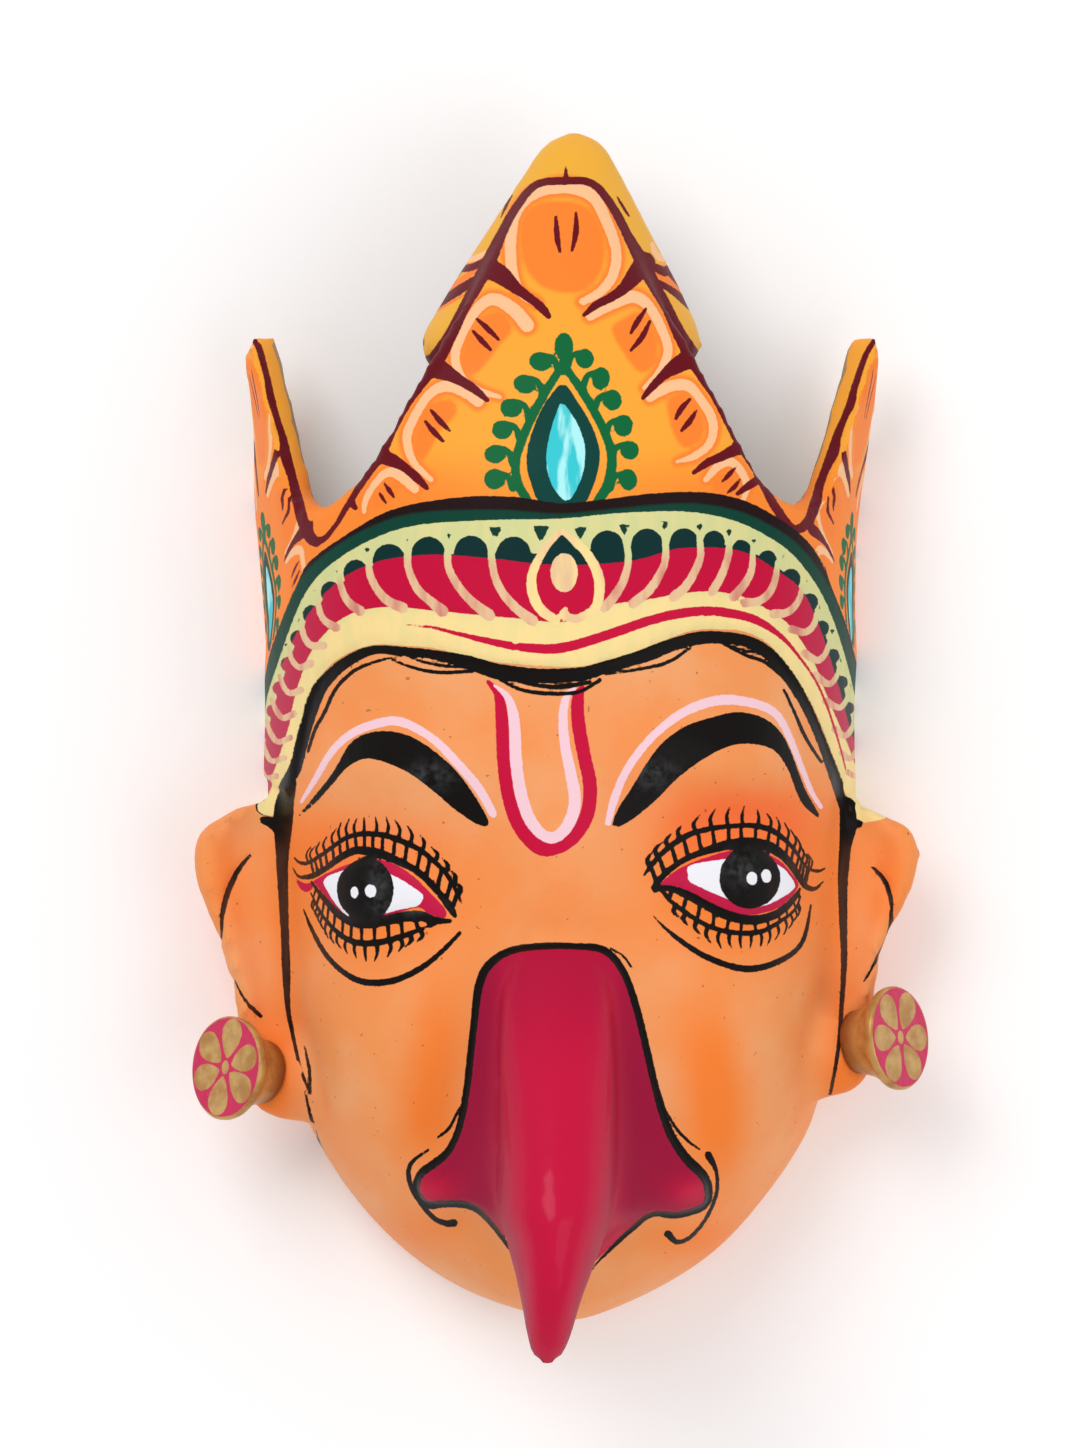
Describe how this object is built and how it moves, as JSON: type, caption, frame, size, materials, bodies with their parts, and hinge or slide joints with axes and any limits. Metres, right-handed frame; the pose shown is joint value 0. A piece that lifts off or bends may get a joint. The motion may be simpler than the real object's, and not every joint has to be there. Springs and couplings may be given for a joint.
{
  "type": "painted bird-god mask",
  "caption": "Hand-painted papier-mache garuda mask with a hooked beak, pointed three-leaf crown, ears and flared ear studs, an open-backed shell that lies on its back rim.",
  "frame": {"origin": "under the middle of the mask's box, in the plane of its back rim", "axes": "+Z out of the face, +Y up to the crown, +X to the viewer's right; the mask lies face up"},
  "size_m": [0.1852, 0.3048, 0.122],
  "materials": {
    "painted_paper": "hand-painted and thinly varnished papier-mache, semi-gloss",
    "gold_paint": "gold and crimson paint on papier-mache, semi-gloss"
  },
  "bodies": {
    "root": {"mask_shell": "painted_paper", "earring_left": "gold_paint", "earring_right": "gold_paint"}
  },
  "joints": []
}
